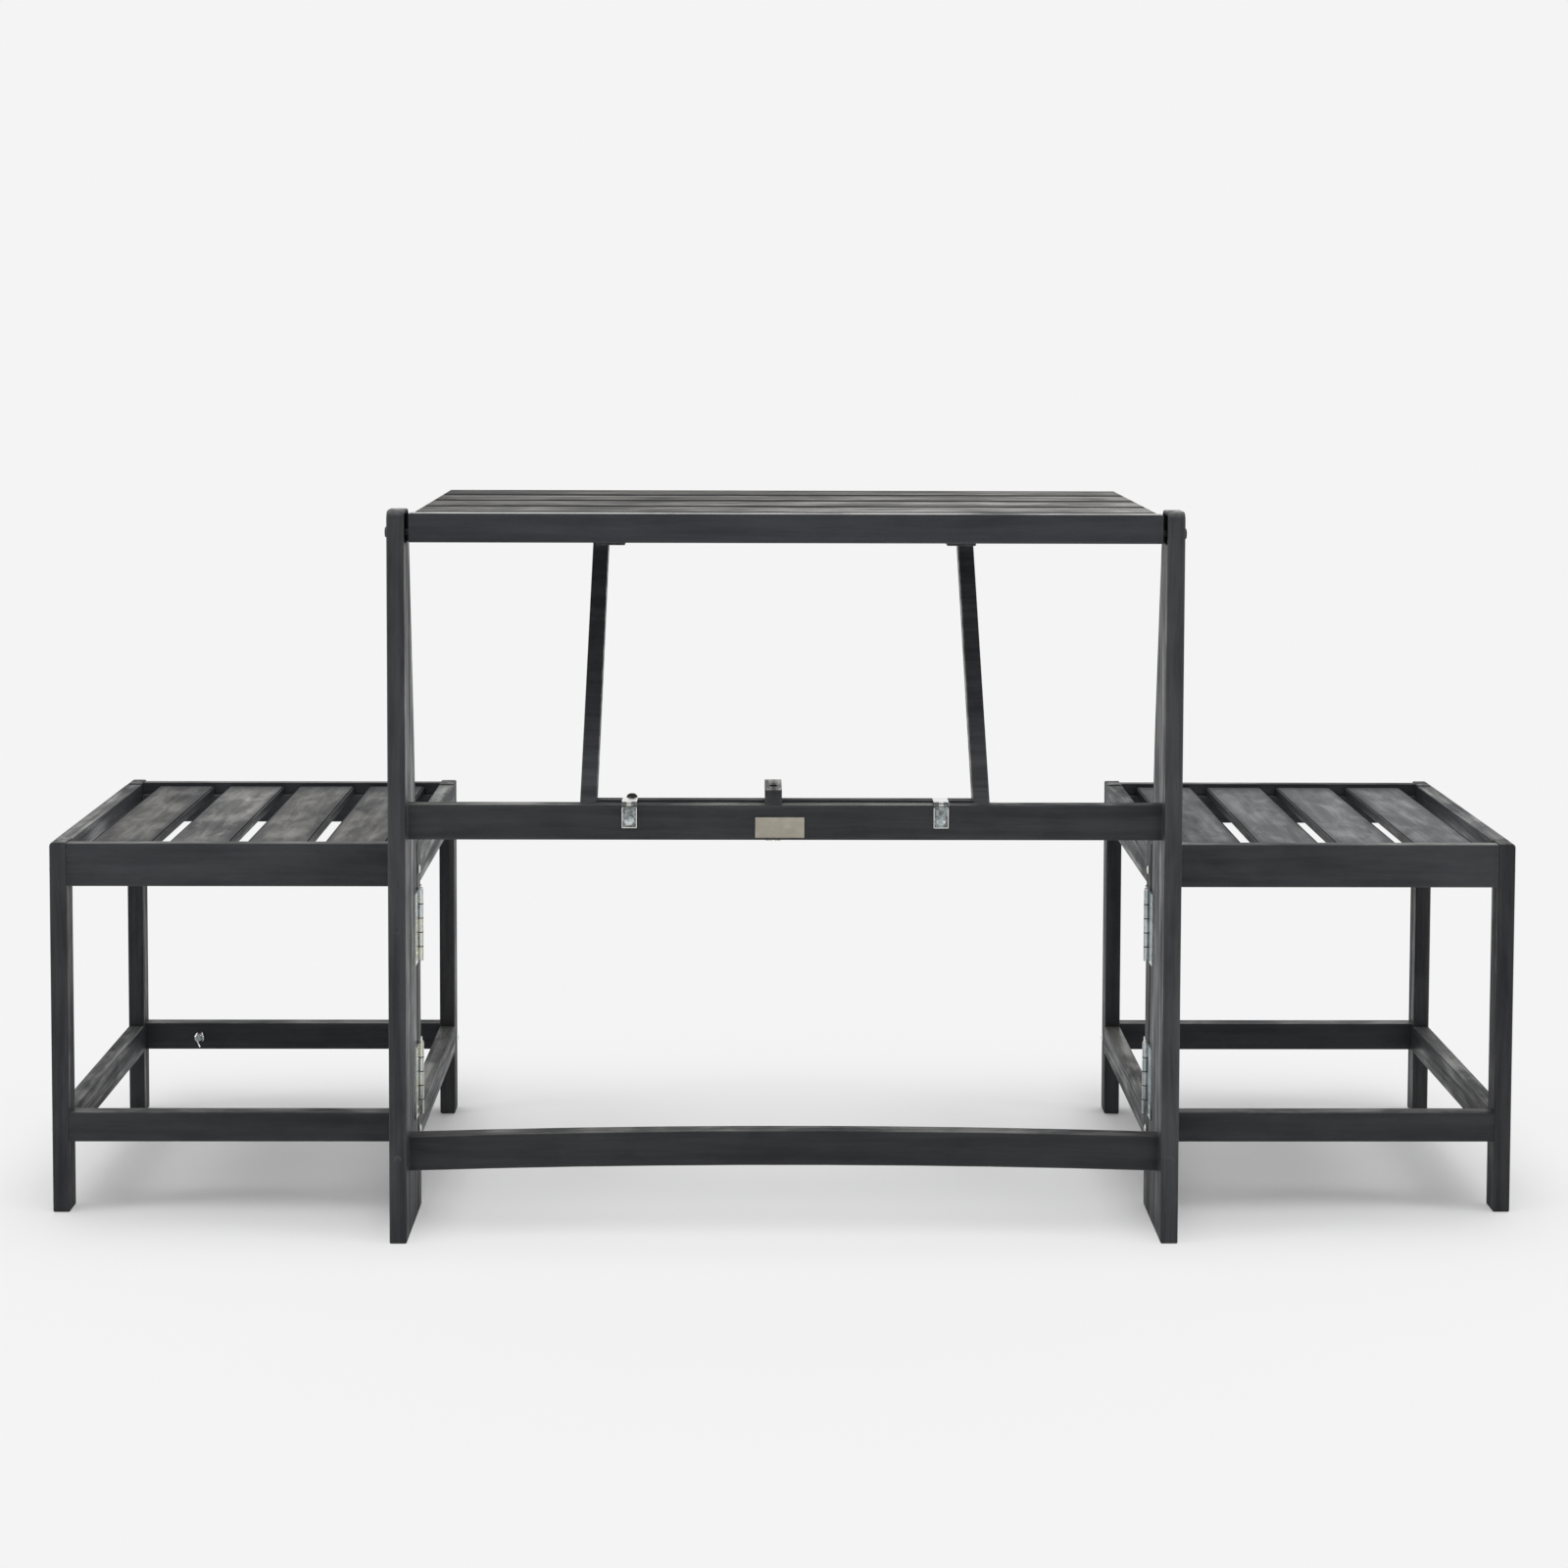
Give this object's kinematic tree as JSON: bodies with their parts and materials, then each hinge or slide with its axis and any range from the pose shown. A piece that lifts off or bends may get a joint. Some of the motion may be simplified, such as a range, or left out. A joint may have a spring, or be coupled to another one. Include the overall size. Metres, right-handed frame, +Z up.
{
  "type": "convertible picnic table bench",
  "caption": "Dark wooden garden bench whose back tips up into a slatted table top, with two box seats that swing out on butt hinges to face each other across it.",
  "frame": {"origin": "centre of the whole footprint at floor level, in table mode", "axes": "+X along the bench to the viewer's right, +Y from the front of the uprights to the back of the seats, +Z up"},
  "size_m": [1.5648, 0.484, 0.76],
  "materials": {
    "stained_wood": "satin near-black stain over softwood",
    "zinc_steel": "zinc plated, satin",
    "bright_plate": "bright zinc, brushed",
    "dark_metal": "black, satin"
  },
  "bodies": {
    "frame": {"plank_left": "stained_wood", "plank_right": "stained_wood", "mid_rail": "stained_wood", "lower_rail": "stained_wood", "stop_block": "stained_wood", "rail_bolts": "dark_metal", "table_pivot_bolts": "dark_metal", "hinge_screws": "zinc_steel", "latch_bases": "bright_plate", "latch_screws": "zinc_steel", "block_screws": "zinc_steel", "hinge_leaves_left": "zinc_steel", "hinge_leaves_right": "zinc_steel", "hinge_pins": "zinc_steel"},
    "table_top": {"table_front_rail": "stained_wood", "table_slats": "stained_wood", "table_screws": "zinc_steel", "table_batten_left": "stained_wood", "table_batten_right": "stained_wood", "prop_pivot_bolts": "dark_metal"},
    "prop_frame": {"prop_arm_left": "stained_wood", "prop_arm_right": "stained_wood", "prop_crossbar": "stained_wood", "prop_screws": "zinc_steel"},
    "seat_left": {"seat_left_leg_front_inner": "stained_wood", "seat_left_leg_front_outer": "stained_wood", "seat_left_leg_rear_inner": "stained_wood", "seat_left_leg_rear_outer": "stained_wood", "seat_left_apron_front": "stained_wood", "seat_left_apron_rear": "stained_wood", "seat_left_apron_inner": "stained_wood", "seat_left_apron_outer": "stained_wood", "seat_left_stretcher_front": "stained_wood", "seat_left_stretcher_rear": "stained_wood", "seat_left_stretcher_inner": "stained_wood", "seat_left_stretcher_outer": "stained_wood", "seat_left_slats": "stained_wood", "seat_left_bolts": "dark_metal", "seat_left_hinge_leaves": "zinc_steel", "seat_left_hinge_screws": "zinc_steel", "lock_bolt": "zinc_steel"},
    "seat_right": {"seat_right_leg_front_inner": "stained_wood", "seat_right_leg_front_outer": "stained_wood", "seat_right_leg_rear_inner": "stained_wood", "seat_right_leg_rear_outer": "stained_wood", "seat_right_apron_front": "stained_wood", "seat_right_apron_rear": "stained_wood", "seat_right_apron_inner": "stained_wood", "seat_right_apron_outer": "stained_wood", "seat_right_stretcher_front": "stained_wood", "seat_right_stretcher_rear": "stained_wood", "seat_right_stretcher_inner": "stained_wood", "seat_right_stretcher_outer": "stained_wood", "seat_right_slats": "stained_wood", "seat_right_bolts": "dark_metal", "seat_right_hinge_leaves": "zinc_steel", "seat_right_hinge_screws": "zinc_steel"},
    "latch_left": {"latch_flap_left": "bright_plate"},
    "latch_right": {"latch_flap_right": "bright_plate"},
    "locking_nut": {"wing_nut": "zinc_steel"}
  },
  "joints": [
    {"name": "table_top_tilt", "type": "hinge", "parent": "frame", "child": "table_top", "pos_m": [0, -0.23, 0.737], "axis": [1, 0, 0], "range_deg": [-75, 0]},
    {"name": "prop_frame_swing", "type": "hinge", "parent": "table_top", "child": "prop_frame", "pos_m": [0, 0.079, 0.731], "axis": [1, 0, 0], "range_deg": [0, 116]},
    {"name": "seat_left_swing", "type": "hinge", "parent": "frame", "child": "seat_left", "pos_m": [-0.3865, -0.144, 0.2], "axis": [0, 0, 1], "range_deg": [-90, 0]},
    {"name": "seat_right_swing", "type": "hinge", "parent": "frame", "child": "seat_right", "pos_m": [0.3865, -0.144, 0.2], "axis": [0, 0, 1], "range_deg": [0, 90]},
    {"name": "latch_left_flip", "type": "hinge", "parent": "frame", "child": "latch_left", "pos_m": [-0.161, -0.2268, 0.4556], "axis": [1, 0, 0], "range_deg": [0, 120]},
    {"name": "latch_right_flip", "type": "hinge", "parent": "frame", "child": "latch_right", "pos_m": [0.161, -0.2268, 0.4556], "axis": [1, 0, 0], "range_deg": [0, 120]},
    {"name": "wing_nut_turn", "type": "hinge", "parent": "seat_left", "child": "locking_nut", "pos_m": [-0.696, 0.2176, 0.092], "axis": [0, 1, 0], "continuous": true}
  ],
  "couplings": [
    {"joint": "prop_frame_swing", "follows": "table_top_tilt", "ratio": -1.536}
  ]
}
